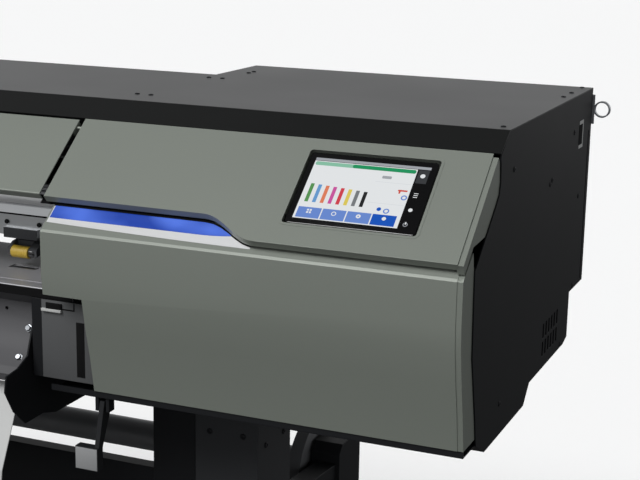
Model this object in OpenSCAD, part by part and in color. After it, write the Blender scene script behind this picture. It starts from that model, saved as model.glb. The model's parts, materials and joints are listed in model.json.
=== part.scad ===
// Wide-format printer cutter on a castor stand, in millimetres.
// X runs to the right as seen from the front, Y to the back, Z up from the floor.

/* [Overall] */
// Width over the cable clips at both ends
machine_w = 2920; // [2700:10:3200]
// Height from the floor to the top cover
machine_h = 1520; // [1440:10:1900]
// Length of the stand feet, front to back
machine_d = 785; // [760:5:960]

/* [Covers] */
// Thickness of the cover sheet
sheet = 2; // [1.5:0.5:3]
// Distance from the foot tip back to the lower cover face
foot_lead = 36.5; // [20:0.5:60]
// Depth of the right housing
right_d = 715; // [690:5:740]
// Depth of the middle and left housing
mid_d = 549; // [520:1:600]
// Width of the right housing
right_w = 651; // [600:1:700]
// Width of the left housing
left_w = 448; // [420:1:520]
// Gap between the front cover and each housing
cover_gap = 9; // [6:1:14]
// How far the top corner sits behind the lower cover face
top_back = 189; // [170:1:200]
// Run of the front band under the top edge
band_run = 42.5; // [30:0.5:50]
// Drop of the front band
band_drop = 26.4; // [18:0.2:32]
// Angle of the tilted panels
slope_a = 39.5; // [36:0.5:42]
// Length of the tilted panels down the slope
slope_l = 192; // [180:1:196]
// Length of the front cover down the slope
front_l = 152; // [140:1:158]
// Depth of the turned lower edges of the tilted panels
lip_d = 12; // [8:1:14]
// How far the side edge of the covers is set in
side_in = 10; // [6:1:14]
// How far the cable clips stand out of the side plates
clip_out = 30; // [28:1:36]

/* [Screen] */
// Width of the screen housing
screen_w = 188; // [160:1:200]
// Height of the screen housing along the slope
screen_h = 127; // [110:1:132]
// Thickness of the screen housing
screen_t = 12; // [8:1:14]
// Distance from the side plate to the screen housing
screen_side = 80; // [60:1:110]
// Gap between the screen housing and its pocket
screen_gap = 4; // [2:0.5:6]

/* [Media path] */
// Height from the top cover down to the platen
platen_drop = 270; // [262:1:276]
// Depth of the platen
platen_d = 218; // [200:1:224]
// Thickness of the platen plate
platen_t = 2.5; // [2:0.5:3]
// Number of grit rings and pinch rollers
roller_n = 7; // [3:1:9]
// Radius of the grit rings
grit_r = 9; // [8:0.5:10]
// Radius of the pinch rollers
pinch_r = 9.6; // [8:0.2:11]
// Length of each pinch roller
pinch_l = 31; // [24:1:40]
// Height of the raised pinch roller above the grit ring
pinch_lift = 16.2; // [12:0.2:18]
// Distance from the pinch shaft forward to the rollers
pinch_reach = 55; // [48:1:60]

/* [Carriage] */
// Width of the head carriage
carriage_w = 260; // [220:5:300]
// Width of the cutter carriage
cutter_w = 120; // [100:5:140]
// Gap under the print heads
head_gap = 2.5; // [1.5:0.5:4]
// Radius of the belt pulleys
pulley_r = 10; // [8:0.5:10]
// Radius of the blade holder
blade_r = 8; // [6:0.5:9]

/* [Stand] */
// Width of the stand legs
leg_w = 113; // [90:1:130]
// Depth of the stand legs
leg_d = 129; // [110:1:140]
// Distance from the side plate to the stand leg
leg_side = 406; // [380:1:440]
// Wall of the legs and beams
tube_wall = 3; // [2:0.5:5]
// Height of the foot beam
foot_h = 60; // [50:1:70]
// Radius of the castor wheels
wheel_r = 37.5; // [35:0.5:42]
// Width of the castor wheels
wheel_w = 24; // [20:1:28]
// Distance of the wheel axle behind the castor stem
castor_trail = 20; // [12:1:26]

/* [Fits] */
// Radial clearance of pins that turn in bores
running = 0.05; // [0.03:0.01:0.08]
// Clearance between parts that slide past each other
slide_gap = 0.4; // [0.3:0.1:0.8]

/* [Hidden] */

black = [0.13, 0.13, 0.13];
dark = [0.24, 0.24, 0.24];
satin = [0.34, 0.34, 0.34];
panel = [0.5, 0.53, 0.49];
silver = [0.75, 0.76, 0.77];
light = [0.68, 0.68, 0.67];

// Main planes of the covers
side_x = machine_w / 2 - clip_out;
inside_x = side_x - sheet;
top_z = machine_h;
front_y = foot_lead - machine_d / 2;
top_y = front_y + top_back;
right_rear_y = front_y + right_d;
mid_rear_y = front_y + mid_d;
right_x = side_x - right_w;
left_x = left_w - side_x;
step_x = right_x + 17;
slope_y = top_y - band_run;
slope_z = top_z - band_drop;
edge_x = side_x - side_in;

// Heights and depths of the underside, from the top cover and the lower cover face
rim_z = top_z - 415.4;
lip_z = top_z - 426;
floor_z = top_z - 450;
back_z = top_z - 422;
floor_y0 = front_y + 131;
floor_y1 = front_y + 342;
back_y0 = front_y + 373;
back_y1 = front_y + 592;
shelf_y = front_y + 620;
shelf_z = top_z - 337;

// Base frame and frame plates
frame_z0 = top_z - 410;
frame_z1 = top_z - 355;
frame_y0 = front_y + 296;
frame_y1 = front_y + 446;
frame_x = side_x - 45;
plate_t = 4;
inner_right = right_x + 36;
inner_left = left_x - 18;

// Rail beam
beam_y0 = front_y + 109;
beam_y1 = beam_y0 + 82;
beam_z0 = top_z - 178;
beam_z1 = top_z - 80;
lip_low = top_z - 213;
beam_x = side_x - 115;
rail_z0 = top_z - 140;
rail_h = 16;
rail_t = 12;

// Platen and rollers
platen_z = top_z - platen_drop;
platen_y0 = front_y + 41;
platen_y1 = platen_y0 + platen_d;
platen_x0 = inner_left;
platen_x1 = inner_right;
ring_rise = 0.3;
grit_z = platen_z + ring_rise - grit_r;
grit_shaft_r = 5;
pinch_gap = 0.5;
shaft_play = 0.4;
pinch_z = platen_z + ring_rise + pinch_gap + pinch_lift + pinch_r - shaft_play;
pinch_shaft_r = 4;
pinch_axle_r = 3;
shaft_z = top_z - 228;
shaft_y = front_y + 184;
pinch_y = shaft_y - pinch_reach;
pinch_low = platen_z + ring_rise + pinch_gap + pinch_r;
arm_l = norm([pinch_reach, shaft_z - pinch_z]);
grit_y = shaft_y - sqrt(arm_l * arm_l - (shaft_z - pinch_low) * (shaft_z - pinch_low));
ring_l = 45;
roller_x1 = right_x - 111;
roller_x0 = left_x + 111;
roller_x = [for (i = [0 : roller_n - 1]) roller_x0 + i * (roller_x1 - roller_x0) / (roller_n - 1)];

// Carriages
head_x1 = side_x - 175;
head_x0 = head_x1 - carriage_w;
cutter_x1 = head_x0 - 10;
cutter_x0 = cutter_x1 - cutter_w;
car_y0 = front_y + 34;
car_y1 = beam_y0 - rail_t - 3;
head_z = platen_z + head_gap;
body_z = head_z + 9.5;
belt_z = rail_z0 + 39;
belt_y0 = beam_y0 - rail_t;
belt_y1 = belt_y0 + 8;
pulley_x = beam_x + 30;
belt_t = 1.2;
blade_x = (cutter_x0 + cutter_x1) / 2;
blade_y = (car_y0 + car_y1) / 2;

// Stand
foot_z0 = 95;
foot_z1 = foot_z0 + foot_h;
foot_w = 70;
leg_x1 = side_x - leg_side;
leg_x0 = leg_x1 - leg_w;
leg_mid = (leg_x0 + leg_x1) / 2;
leg_y0 = front_y + 249;
leg_y1 = leg_y0 + leg_d;
post_w = 80;
post_x = leg_x0 - post_w;
castor_y = machine_d / 2 - 52.5;
stem_r = 8;
axle_r = 6;
pad_y = castor_y - 100;
beam_top = top_z - 628.5;
beam_bot = beam_top - 100;
beam_d = 26;

// Take-up at the front, roll holder at the back
take_y = front_y + 126;
take_z = 500;
take_r = 27;
roll_y = machine_d / 2 - 102.5;
roll_z = top_z - 741.5;
roll_r = 29;
flange_r = 95;
journal_r = 12;
dancer_y = leg_y0 + 45;
dancer_z = 330;

// Cover pivot and ink door pivot
pivot_u = 16;
pivot_n = -5.5;
pivot_r = 2.5;
door_x0 = step_x + 64;
door_x1 = side_x - 90;
door_z0 = top_z - 304;
door_z1 = top_z - 50;
door_pin_y = right_rear_y - 7;
door_pin_z = door_z0 + 6;
door_pin_r = 2.5;

// Lever
lever_x = right_x + 86;
lever_y = front_y + 46;
lever_z = lip_z - 14;
lever_r = 5;

// Left normal of a segment, and mitred offset of a path's point
function unit_normal(a, b) = let (d = (b - a) / norm(b - a)) [-d[1], d[0]];
function mitre(p, i) = i == 0 ? unit_normal(p[0], p[1])
    : i == len(p) - 1 ? unit_normal(p[i - 1], p[i])
    : let (n = unit_normal(p[i - 1], p[i]), m = unit_normal(p[i], p[i + 1])) (n + m) / (1 + n * m);
// Outline of a bent sheet of thickness t on the left of a path
function bent(p, t) = concat(p, [for (i = [len(p) - 1 : -1 : 0]) p[i] + t * mitre(p, i)]);

module along_x(x0, x1) {
    translate([x0, 0, 0])
        rotate([90, 0, 90])
            linear_extrude(x1 - x0) children();
}
module block(a, b) {
    translate(a) cube(b - a);
}
module rod_x(x0, x1, y, z, r) {
    translate([x0, y, z]) rotate([0, 90, 0]) cylinder(h = x1 - x0, r = r, $fn = 64);
}
module rod_y(y0, y1, x, z, r) {
    translate([x, y0, z]) rotate([-90, 0, 0]) cylinder(h = y1 - y0, r = r, $fn = 64);
}
module rod_z(z0, z1, x, y, r) {
    translate([x, y, z0]) cylinder(h = z1 - z0, r = r, $fn = 64);
}
// Puts children on the tilted panel: x along the machine, -y down the slope, z out of the panel
module on_slope() {
    translate([0, slope_y, slope_z]) rotate([slope_a, 0, 0]) children();
}
// Machine coordinates of a point at distance u down the slope and n out of it
function slope_point(u, n) = [slope_y - u * cos(slope_a) - n * sin(slope_a),
    slope_z - u * sin(slope_a) + n * cos(slope_a)];
module both_sides() {
    children();
    mirror([1, 0, 0]) children();
}

// ---- stand ----
module leg_tube(z0, z1) {
    translate([leg_x0, leg_y0, z0])
        linear_extrude(z1 - z0)
            difference() {
                square([leg_w, leg_d]);
                translate([tube_wall, tube_wall]) square([leg_w - 2 * tube_wall, leg_d - 2 * tube_wall]);
            }
}
module stand_leg() {
    difference() {
        union() {
            leg_tube(foot_z1, frame_z0);
            block([leg_mid - foot_w / 2, -machine_d / 2, foot_z0],
                [leg_mid + foot_w / 2, machine_d / 2, foot_z1]);
            block([leg_x0, leg_y0, foot_z1], [leg_x1, leg_y1, foot_z1 + 8]);
            block([leg_x0, leg_y0, frame_z0 - 8], [leg_x1, leg_y1, frame_z0]);
        }
        for (y = [-castor_y, castor_y])
            rod_z(foot_z0 - 1, foot_z0 + 35, leg_mid, y, stem_r + running);
        block([leg_mid - foot_w / 2 + tube_wall, -castor_y + 40, foot_z0 + tube_wall],
            [leg_mid + foot_w / 2 - tube_wall, castor_y - 40, foot_z1 - tube_wall]);
        rod_x(leg_x0 - 1, leg_x0 + tube_wall + 1, dancer_y, dancer_z, axle_r + running);
    }
}
module stand_leg_right() {
    color(dark) stand_leg();
}
module stand_leg_left() {
    color(dark) {
        mirror([1, 0, 0]) stand_leg();
        block([-leg_x1 - 140, leg_y0 + 20, 560], [-leg_x1, leg_y1, 563]);
        block([-leg_x1 - 140, leg_y1 - 3, 563], [-leg_x1, leg_y1, 640]);
    }
}
module inner_posts() {
    color(black)
        both_sides()
            translate([post_x, leg_y0 + 3, beam_bot - 80])
                linear_extrude(floor_z - beam_bot + 80)
                    difference() {
                        square([post_w, 100]);
                        translate([tube_wall, tube_wall]) square([post_w - 2 * tube_wall,
                            100 - 2 * tube_wall]);
                    }
}
module cross_beam() {
    color(black)
        along_x(-post_x, post_x)
            translate([leg_y0 + 15, beam_bot])
                difference() {
                    square([beam_d, beam_top - beam_bot]);
                    translate([tube_wall, tube_wall])
                        square([beam_d - 2 * tube_wall, beam_top - beam_bot - 2 * tube_wall]);
                }
}
// Castor with its stem at (x, y) and its wheel on the side away from the foot tip
module castor_fork(x, y) {
    trail = y < 0 ? castor_trail : -castor_trail;
    color(dark) {
        rod_z(foot_z0 - 6, foot_z0 + 30, x, y, stem_r);
        translate([x, y + trail / 2, wheel_r * 2 + 4])
            linear_extrude(foot_z0 - 1 - wheel_r * 2 - 4)
                square([wheel_w + 14, 50], center = true);
        for (s = [-1, 1])
            translate([x + s * (wheel_w / 2 + 4.5) - 2.5, y + trail / 2 - 14, wheel_r - 10])
                cube([5, 28, wheel_r + 16]);
        rod_x(x - wheel_w / 2 - 9, x + wheel_w / 2 + 9, y + trail, wheel_r, axle_r);
        for (s = [-1, 1])
            translate([x + s * (wheel_w / 2 + 4.5) - 2.5, y + trail, wheel_r])
                rotate([0, 90, 0]) cylinder(h = 5, r = 12, $fn = 48);
    }
}
module castor_wheel(x, y) {
    trail = y < 0 ? castor_trail : -castor_trail;
    color(black)
        translate([x, y + trail, wheel_r])
            rotate([0, 90, 0])
                rotate_extrude($fn = 96)
                    polygon([[axle_r + running, -wheel_w / 2 + 1], [14, -wheel_w / 2 + 1],
                        [16, -wheel_w / 2 + 4],
                        [wheel_r - 9, -wheel_w / 2 + 4], [wheel_r - 6, -wheel_w / 2],
                            [wheel_r - 2, -wheel_w / 2],
                        [wheel_r, -wheel_w / 2 + 3], [wheel_r, wheel_w / 2 - 3], [wheel_r - 2, wheel_w / 2],
                        [wheel_r - 6, wheel_w / 2], [wheel_r - 9, wheel_w / 2 - 4], [16, wheel_w / 2 - 4],
                        [14, wheel_w / 2 - 1], [axle_r + running, wheel_w / 2 - 1]]);
}
module caster_fork_front_left() castor_fork(-leg_mid, -castor_y);
module caster_fork_front_right() castor_fork(leg_mid, -castor_y);
module caster_fork_rear_left() castor_fork(-leg_mid, castor_y);
module caster_fork_rear_right() castor_fork(leg_mid, castor_y);
module caster_wheel_front_left() castor_wheel(-leg_mid, -castor_y);
module caster_wheel_front_right() castor_wheel(leg_mid, -castor_y);
module caster_wheel_rear_left() castor_wheel(-leg_mid, castor_y);
module caster_wheel_rear_right() castor_wheel(leg_mid, castor_y);
module levelling_feet() {
    color(silver)
        for (x = [-leg_mid, leg_mid], y = [-pad_y, pad_y]) {
            rod_z(0, 8, x, y, 25);
            rod_z(8, foot_z0, x, y, 6);
            translate([x, y, foot_z0 - 10]) cylinder(h = 10, r = 12, $fn = 6);
        }
}

// ---- frame ----
module base_frame() {
    color(dark)
        along_x(-frame_x, frame_x)
            translate([frame_y0, frame_z0])
                difference() {
                    square([frame_y1 - frame_y0, frame_z1 - frame_z0]);
                    translate([tube_wall, tube_wall])
                        square([frame_y1 - frame_y0 - 2 * tube_wall, frame_z1 - frame_z0 - 2 * tube_wall]);
                }
}
module end_frames() {
    color(dark)
        both_sides()
            along_x(frame_x - plate_t, frame_x)
                polygon([[beam_y0 + 2, frame_z1], [frame_y1 + 30, frame_z1], [frame_y1 + 30, top_z - 65],
                    [slope_y - 5, top_z - 65], [beam_y0 + 2, top_z - 90]]);
}
module inner_frame_outline() {
    polygon([[platen_y0 + 25, frame_z1], [frame_y1 + 30, frame_z1], [frame_y1 + 30, beam_z1],
        [beam_y1, beam_z1], [beam_y1, lip_low], [beam_y0 + 2, lip_low],
        [beam_y0 + 2, platen_z - 7], [platen_y0 + 25, platen_z - 7]]);
}
module inner_frames() {
    color(dark)
        for (x = [inner_left - plate_t, inner_right])
            difference() {
                along_x(x, x + plate_t) inner_frame_outline();
                rod_x(x - 1, x + plate_t + 1, grit_y, grit_z, grit_shaft_r + running);
                rod_x(x - 1, x + plate_t + 1, shaft_y, shaft_z, pinch_shaft_r + running);
            }
}
module beam_outline() {
    difference() {
        polygon([[beam_y0, beam_z0], [beam_y0 + 1.5, beam_z0 + 13], [beam_y0 + 1.5, beam_z0 + 15],
            [beam_y0, beam_z0 + 17], [beam_y0, beam_z1], [beam_y1, beam_z1], [beam_y1, beam_z0 - 6],
            [beam_y0 + 16, beam_z0 - 6], [beam_y0 + 7, lip_low], [beam_y0 + 1, lip_low],
                [beam_y0 + 1, beam_z0 - 2],
            [beam_y0 + 2, beam_z0 - 2], [beam_y0 + 2, beam_z0]]);
        for (z = [beam_z0, beam_z0 + 48])
            translate([beam_y0 + 8, z]) square([beam_y1 - beam_y0 - 14, 42]);
    }
}
module rail_beam() {
    color(silver) along_x(-beam_x, beam_x) beam_outline();
    color(dark)
        for (x = roller_x)
            block([x - 15, beam_y0 - 5, lip_low - 3], [x + 46, beam_y0 + 1, lip_low + 13]);
}
module linear_rail() {
    color(silver)
        along_x(-beam_x + 5, beam_x - 5)
            polygon([[beam_y0, rail_z0], [beam_y0, rail_z0 + rail_h], [beam_y0 - rail_t, rail_z0 + rail_h],
                [beam_y0 - rail_t, rail_z0 + rail_h - 4], [beam_y0 - rail_t + 3, rail_z0 + rail_h - 6],
                [beam_y0 - rail_t + 3, rail_z0 + 6], [beam_y0 - rail_t, rail_z0 + 4],
                    [beam_y0 - rail_t, rail_z0]]);
}
module platen() {
    skirt = 15;
    color(panel)
        difference() {
            along_x(platen_x0, platen_x1)
                polygon(bent([[platen_y1, platen_z - skirt], [platen_y1, platen_z], [platen_y0, platen_z],
                    [platen_y0, platen_z - skirt]], platen_t));
            for (x = roller_x)
                block([x - ring_l / 2 - 2, grit_y - grit_r - 1, platen_z - 4],
                    [x + ring_l / 2 + 2, grit_y + grit_r + 1, platen_z + 1]);
            block([platen_x0 + 20, platen_y0 + 22, platen_z - 1],
                [platen_x1 - 20, platen_y0 + 28, platen_z + 1]);
        }
}
apron_path = [[platen_y0 + 5, platen_z - 17], [platen_y0 + 25, platen_z - 34],
    [platen_y0 + 27.4, platen_z - 64],
    [platen_y0 + 17.5, platen_z - 90], [platen_y0, platen_z - 108], [platen_y0 - 20.6, platen_z - 123],
    [platen_y0 - 29, platen_z - 133], [platen_y0 - 24, platen_z - 146], [platen_y0 - 5, platen_z - 150]];
apron_x1 = right_x - 39;
apron_x0 = left_x + 39;
module front_apron() {
    color(dark)
        difference() {
            along_x(apron_x0, apron_x1) polygon(bent(apron_path, sheet));
            for (x = [apron_x0 + 60, apron_x1 - 60])
                rod_y(platen_y0, platen_y0 + 40, x, platen_z - 48, 3);
        }
}
module apron_brackets() {
    plate_y = front_y + 36.5;
    outline = [[-15, -25], [-39, -25], [-75, -88], [-195, -88], [-195, -200], [-172, -230], [-144, -218],
        [-58, -218], [-22, -208], [26, -209], [55, -181], [75, -145], [71, -121], [41, -117],
            [15, -105], [0, -66]];
    color(black)
        for (x = [apron_x0 - 4, apron_x1 + 1])
            along_x(x, x + 3) polygon([for (p = outline) [platen_y0 - p[0], platen_z + p[1]]]);
    color(dark)
        difference() {
            along_x(apron_x1 + 6, right_x + 94)
                translate([plate_y, rim_z + 8]) square([sheet, platen_z - 15 - rim_z - 8]);
            block([right_x + 45, plate_y - 1, rim_z + 16], [right_x + 59, plate_y + sheet + 1,
                platen_z - 44]);
        }
    color(dark)
        block([left_x - 94, plate_y, rim_z + 8], [apron_x0 - 6, plate_y + sheet, platen_z - 15]);
}
module rear_apron() {
    color(dark)
        along_x(left_x + 2, right_x - 2)
            polygon(bent([[frame_y1 + 46, frame_z0 - 30], [frame_y1 + 42, frame_z0 + 30],
                [frame_y1 + 20, frame_z1 + 7],
                [frame_y1 - 30, frame_z1 + 33], [platen_y1 + 57, platen_z - 16],
                    [platen_y1 + 3, platen_z - 4]], sheet));
}
module media_guide() {
    color(light)
        along_x(apron_x0 + 5, apron_x1 - 20)
            polygon(bent([[platen_y0 + 3, platen_z - 158], [platen_y0 - 17, platen_z - 195],
                [platen_y0 - 57, platen_z - 278],
                [platen_y0 - 62, platen_z - 310], [platen_y0 - 48, platen_z - 345],
                    [platen_y0 - 20, platen_z - 362]], sheet));
}

// ---- rollers and carriages ----
module grit_roller() {
    color(silver) {
        rod_x(inner_left - plate_t - 4, inner_right + plate_t + 30, grit_y, grit_z, grit_shaft_r);
        for (x = roller_x)
            rod_x(x - ring_l / 2, x + ring_l / 2, grit_y, grit_z, grit_r);
    }
}
module pinch_arms() {
    color(black) {
        rod_x(inner_left - plate_t, inner_right + plate_t, shaft_y, shaft_z, pinch_shaft_r);
        for (x = roller_x) {
            difference() {
                along_x(x - pinch_l / 2 - 6, x + pinch_l / 2 + 16)
                    polygon([[shaft_y + 8, shaft_z + 7], [shaft_y + 8, shaft_z - 7],
                        [pinch_y - 6, pinch_z - 5],
                        [pinch_y - 7, pinch_z + 6], [pinch_y + 6, pinch_z + 14]]);
                along_x(x - pinch_l / 2 - 1, x + pinch_l / 2 + 1)
                    polygon([[pinch_y + pinch_r + 4, pinch_z - 40], [pinch_y + pinch_r + 4, pinch_z + 40],
                        [pinch_y - 40, pinch_z + 40], [pinch_y - 40, pinch_z - 40]]);
            }
            rod_x(x - pinch_l / 2 - 6, x + pinch_l / 2 + 12, pinch_y, pinch_z, pinch_axle_r);
        }
    }
}
module pinch_rollers() {
    color([0.78, 0.68, 0.34])
        for (x = roller_x)
            difference() {
                rod_x(x - pinch_l / 2, x + pinch_l / 2, pinch_y, pinch_z, pinch_r);
                rod_x(x - pinch_l / 2 - 1, x + pinch_l / 2 + 1, pinch_y, pinch_z, pinch_axle_r + running);
            }
}
module drive_motors() {
    color(black) {
        block([inner_right + plate_t, grit_y + 30, platen_z - 82],
            [inner_right + plate_t + 70, grit_y + 86, platen_z - 26]);
        for (s = [-1, 1]) {
            x0 = s > 0 ? beam_x : -frame_x + plate_t;
            x1 = s > 0 ? frame_x - plate_t : -beam_x;
            block([x0, beam_y0 + 7, belt_z - 30], [x1, beam_y1 + 15, belt_z + 26]);
        }
    }
    color(silver)
        for (x = [-pulley_x, pulley_x])
            rod_y(belt_y0 - 3, beam_y0 + 7, x, belt_z, 4);
}
module rail_block(x0, x1) {
    difference() {
        block([x0, car_y1, rail_z0 - 8], [x1, beam_y0 - 2.5, rail_z0 + rail_h + 8]);
        block([x0 - 1, beam_y0 - rail_t - slide_gap, rail_z0 - slide_gap],
            [x1 + 1, beam_y0, rail_z0 + rail_h + slide_gap]);
    }
}
// Carriage casing section, parallel to the tilted covers above it
module carriage_outline(z0) {
    drop = 62;
    front_top = slope_z - (slope_y - car_y0) * tan(slope_a) - drop;
    back_top = slope_z - (slope_y - car_y1) * tan(slope_a) - drop;
    polygon([[car_y0, z0], [car_y1, z0], [car_y1, back_top], [car_y1 - 12, back_top], [car_y0, front_top]]);
}
module head_carriage() {
    color(dark) {
        along_x(head_x0, head_x1) carriage_outline(body_z);
        rail_block(head_x0 + 15, head_x0 + 85);
        rail_block(head_x1 - 85, head_x1 - 15);
    }
}
module print_heads() {
    color(silver)
        for (x = [head_x0 + 40, head_x0 + 140])
            block([x, car_y0 + 8, head_z], [x + 80, car_y1 - 8, body_z]);
}
module cutter_carriage() {
    color(dark)
        difference() {
            union() {
                along_x(cutter_x0, cutter_x1) carriage_outline(body_z + 12);
                rail_block(cutter_x0 + 15, cutter_x1 - 15);
            }
            rod_z(body_z, top_z, blade_x, blade_y, blade_r + running);
        }
}
module blade_holder() {
    color(silver) {
        rod_z(body_z + 2, platen_z + 130, blade_x, blade_y, blade_r);
        translate([blade_x, blade_y, platen_z + 3.5]) cylinder(h = body_z - platen_z - 1.5, r1 = 1.5,
            r2 = 6, $fn = 48);
    }
}
module carriage_belt() {
    inner = pulley_r + slide_gap;
    color(black)
        translate([0, belt_y1, belt_z])
            rotate([90, 0, 0])
                linear_extrude(belt_y1 - belt_y0)
                    difference() {
                        union() {
                            square([2 * pulley_x, 2 * (inner + belt_t)], center = true);
                            for (x = [-pulley_x, pulley_x]) translate([x, 0]) circle(r = inner + belt_t,
                                $fn = 48);
                        }
                        square([2 * pulley_x, 2 * inner], center = true);
                        for (x = [-pulley_x, pulley_x]) translate([x, 0]) circle(r = inner, $fn = 48);
                    }
}
module pulley(x) {
    color(silver)
        difference() {
            rod_y(belt_y0, belt_y1, x, belt_z, pulley_r);
            rod_y(belt_y0 - 1, belt_y1 + 1, x, belt_z, 4 + running);
        }
}
module drive_pulley() pulley(pulley_x);
module idler_pulley() pulley(-pulley_x);
module cap_station() {
    cap_top = head_z - 1;
    color(dark) {
        block([head_x0 + 30, car_y0 + 4, frame_z1 - 16], [head_x1 - 30, frame_y0, frame_z1 - 6]);
        block([head_x0 + 34, car_y0 + 6, frame_z1 - 6], [head_x1 - 34, car_y1 - 2, cap_top - 12]);
    }
    color(black)
        for (x = [head_x0 + 40, head_x0 + 140])
            block([x, car_y0 + 8, cap_top - 12], [x + 80, car_y1 - 8, cap_top]);
}

// ---- covers ----
module top_cover() {
    flange = 15;
    color(satin) {
        along_x(-side_x, step_x)
            polygon(bent([[mid_rear_y, top_z - flange], [mid_rear_y, top_z], [top_y, top_z],
                [slope_y, slope_z]], sheet));
        along_x(step_x, side_x)
            polygon(bent([[right_rear_y, top_z - flange], [right_rear_y, top_z], [top_y, top_z],
                [slope_y, slope_z]], sheet));
        block([step_x, mid_rear_y - sheet, top_z - flange], [step_x + sheet, right_rear_y, top_z]);
    }
}
// Lower edge of the right tilted panel: short at the left, an S-shaped fall, then long to the right edge
s_start = right_x + 261;
s_end = right_x + 350;
short_l = front_l + 3;
s_points = [for (i = [0 : 16]) [s_start + (s_end - s_start) * i / 16,
    -(short_l + (slope_l - short_l) * (1 - cos(180 * i / 16)) / 2)]];
screen_x1 = side_x - screen_side;
screen_x0 = screen_x1 - screen_w;
screen_u0 = 25;
screen_u1 = screen_u0 + screen_h;
// Side wall under a tilted panel: above the ledge, and back to the front edge of the side plate
upper_side = [slope_point(6, -sheet), slope_point(slope_l, -sheet), [front_y + 6, top_z - 163],
    [front_y + 41, top_z - 134],
    [top_y - 96, top_z - 131], [top_y - 55, top_z - 98], [top_y - 39.5, top_z - 84],
        [top_y - 35, top_z - 66],
    [top_y - 39, top_z - 40]];
module right_upper_cover() {
    pocket = screen_t + 2;
    lower_edge = concat([[right_x, -short_l]], s_points, [[edge_x, -slope_l]]);
    color(panel) {
        on_slope() {
            translate([0, 0, -lip_d]) linear_extrude(lip_d - sheet / 2) polygon(bent(lower_edge, sheet));
            difference() {
                union() {
                    translate([0, 0, -sheet])
                        linear_extrude(sheet)
                            polygon(concat([[right_x, -1]], lower_edge, [[edge_x, -1]]));
                    translate([screen_x0 - screen_gap - sheet, -screen_u1 - screen_gap - sheet,
                        -pocket - sheet])
                        cube([screen_w + 2 * screen_gap + 2 * sheet,
                            screen_h + 2 * screen_gap + 2 * sheet, pocket + sheet]);
                }
                translate([screen_x0 - screen_gap, -screen_u1 - screen_gap, -pocket])
                    cube([screen_w + 2 * screen_gap, screen_h + 2 * screen_gap, pocket + 1]);
            }
            difference() {
                translate([right_x, -40, -30]) cube([4, 38, 30 - sheet]);
                translate([right_x - 1, -pivot_u, pivot_n]) rotate([0, 90, 0]) cylinder(h = 6,
                    r = pivot_r + running, $fn = 48);
            }
        }
        along_x(edge_x - sheet, inside_x)
            polygon(upper_side);
    }
}
module left_upper_cover() {
    color(panel) {
        on_slope() {
            translate([-edge_x, -slope_l, -sheet]) cube([edge_x + left_x, slope_l - 1, sheet]);
            translate([-edge_x, -slope_l, -lip_d]) cube([edge_x + left_x, sheet, lip_d]);
            difference() {
                translate([left_x - 4, -40, -30]) cube([4, 38, 30 - sheet]);
                translate([left_x - 5, -pivot_u, pivot_n]) rotate([0, 90, 0]) cylinder(h = 6,
                    r = pivot_r + running, $fn = 48);
            }
        }
        along_x(-inside_x, -edge_x + sheet)
            polygon(upper_side);
    }
}
// Lower cover: ledge under the tilted panel, upright face, tucked-in lower half
ledge_top = [front_y + 39, top_z - 139];
lower_path = [ledge_top, [front_y + 3, top_z - 168.5], [front_y, top_z - 172], [front_y, top_z - 235],
    [front_y + 3, top_z - 268], [front_y + 12, top_z - 315], [front_y + 23, top_z - 361],
        [front_y + 33, rim_z]];
side_front = [[front_y + 47, top_z - 179], [front_y + 52, top_z - 289], [front_y + 79, top_z - 388],
    [front_y + 85, rim_z]];
module lower_cover_side(x0, x1) {
    along_x(x0, x1)
        polygon(concat([ledge_top + [3, -3]],
            [for (i = [1 : len(lower_path) - 1]) lower_path[i] + [sheet / 2, 0]],
            [for (i = [len(side_front) - 1 : -1 : 0]) side_front[i]], [[front_y + 47, top_z - 167]]));
}
module right_lower_cover() {
    color(panel) {
        difference() {
            along_x(right_x + 10, edge_x) polygon(bent(lower_path, sheet));
            along_x(right_x + 9, right_x + 76)
                polygon([[front_y - 50, top_z - 267], [front_y + 50, top_z - 267],
                    [front_y + 50, rim_z - 5], [front_y - 50, rim_z - 5]]);
        }
        lower_cover_side(edge_x, inside_x);
    }
}
module left_lower_cover() {
    color(panel) {
        along_x(-edge_x, left_x - 10) polygon(bent(lower_path, sheet));
        lower_cover_side(-inside_x, -edge_x);
    }
}
front_edge = [[top_y - 39.5, top_z - 29], [top_y - 35, top_z - 66], [top_y - 39.5, top_z - 84],
    [top_y - 55, top_z - 98],
    [top_y - 96, top_z - 131], [front_y + 47, top_z - 167], [front_y + 47, top_z - 179],
        [front_y + 52, top_z - 289],
    [front_y + 79, top_z - 388], [front_y + 87, lip_z], [floor_y0, floor_z], [floor_y1, floor_z],
        [back_y0, back_z]];
vent_x = front_y + 444;
module right_side_plate() {
    outline = concat([[right_rear_y - sheet, top_z - sheet], [top_y + 1, top_z - sheet]], front_edge,
        [[back_y1, back_z], [shelf_y, rim_z], [shelf_y, shelf_z], [right_rear_y - sheet, shelf_z]]);
    color(black)
        difference() {
            along_x(inside_x, side_x) polygon(outline);
            for (row = [0, 1], i = [0 : 5])
                block([inside_x - 1, vent_x + i * 18, top_z - 401 + row * 30],
                    [side_x + 1, vent_x + 9 + i * 18, top_z - 377 + row * 30]);
        }
}
module left_side_plate() {
    outline = concat([[mid_rear_y - sheet, top_z - sheet], [top_y + 1, top_z - sheet]], front_edge,
        [[mid_rear_y - sheet, back_z]]);
    color(black) along_x(-side_x, -inside_x) polygon(outline);
}
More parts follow.
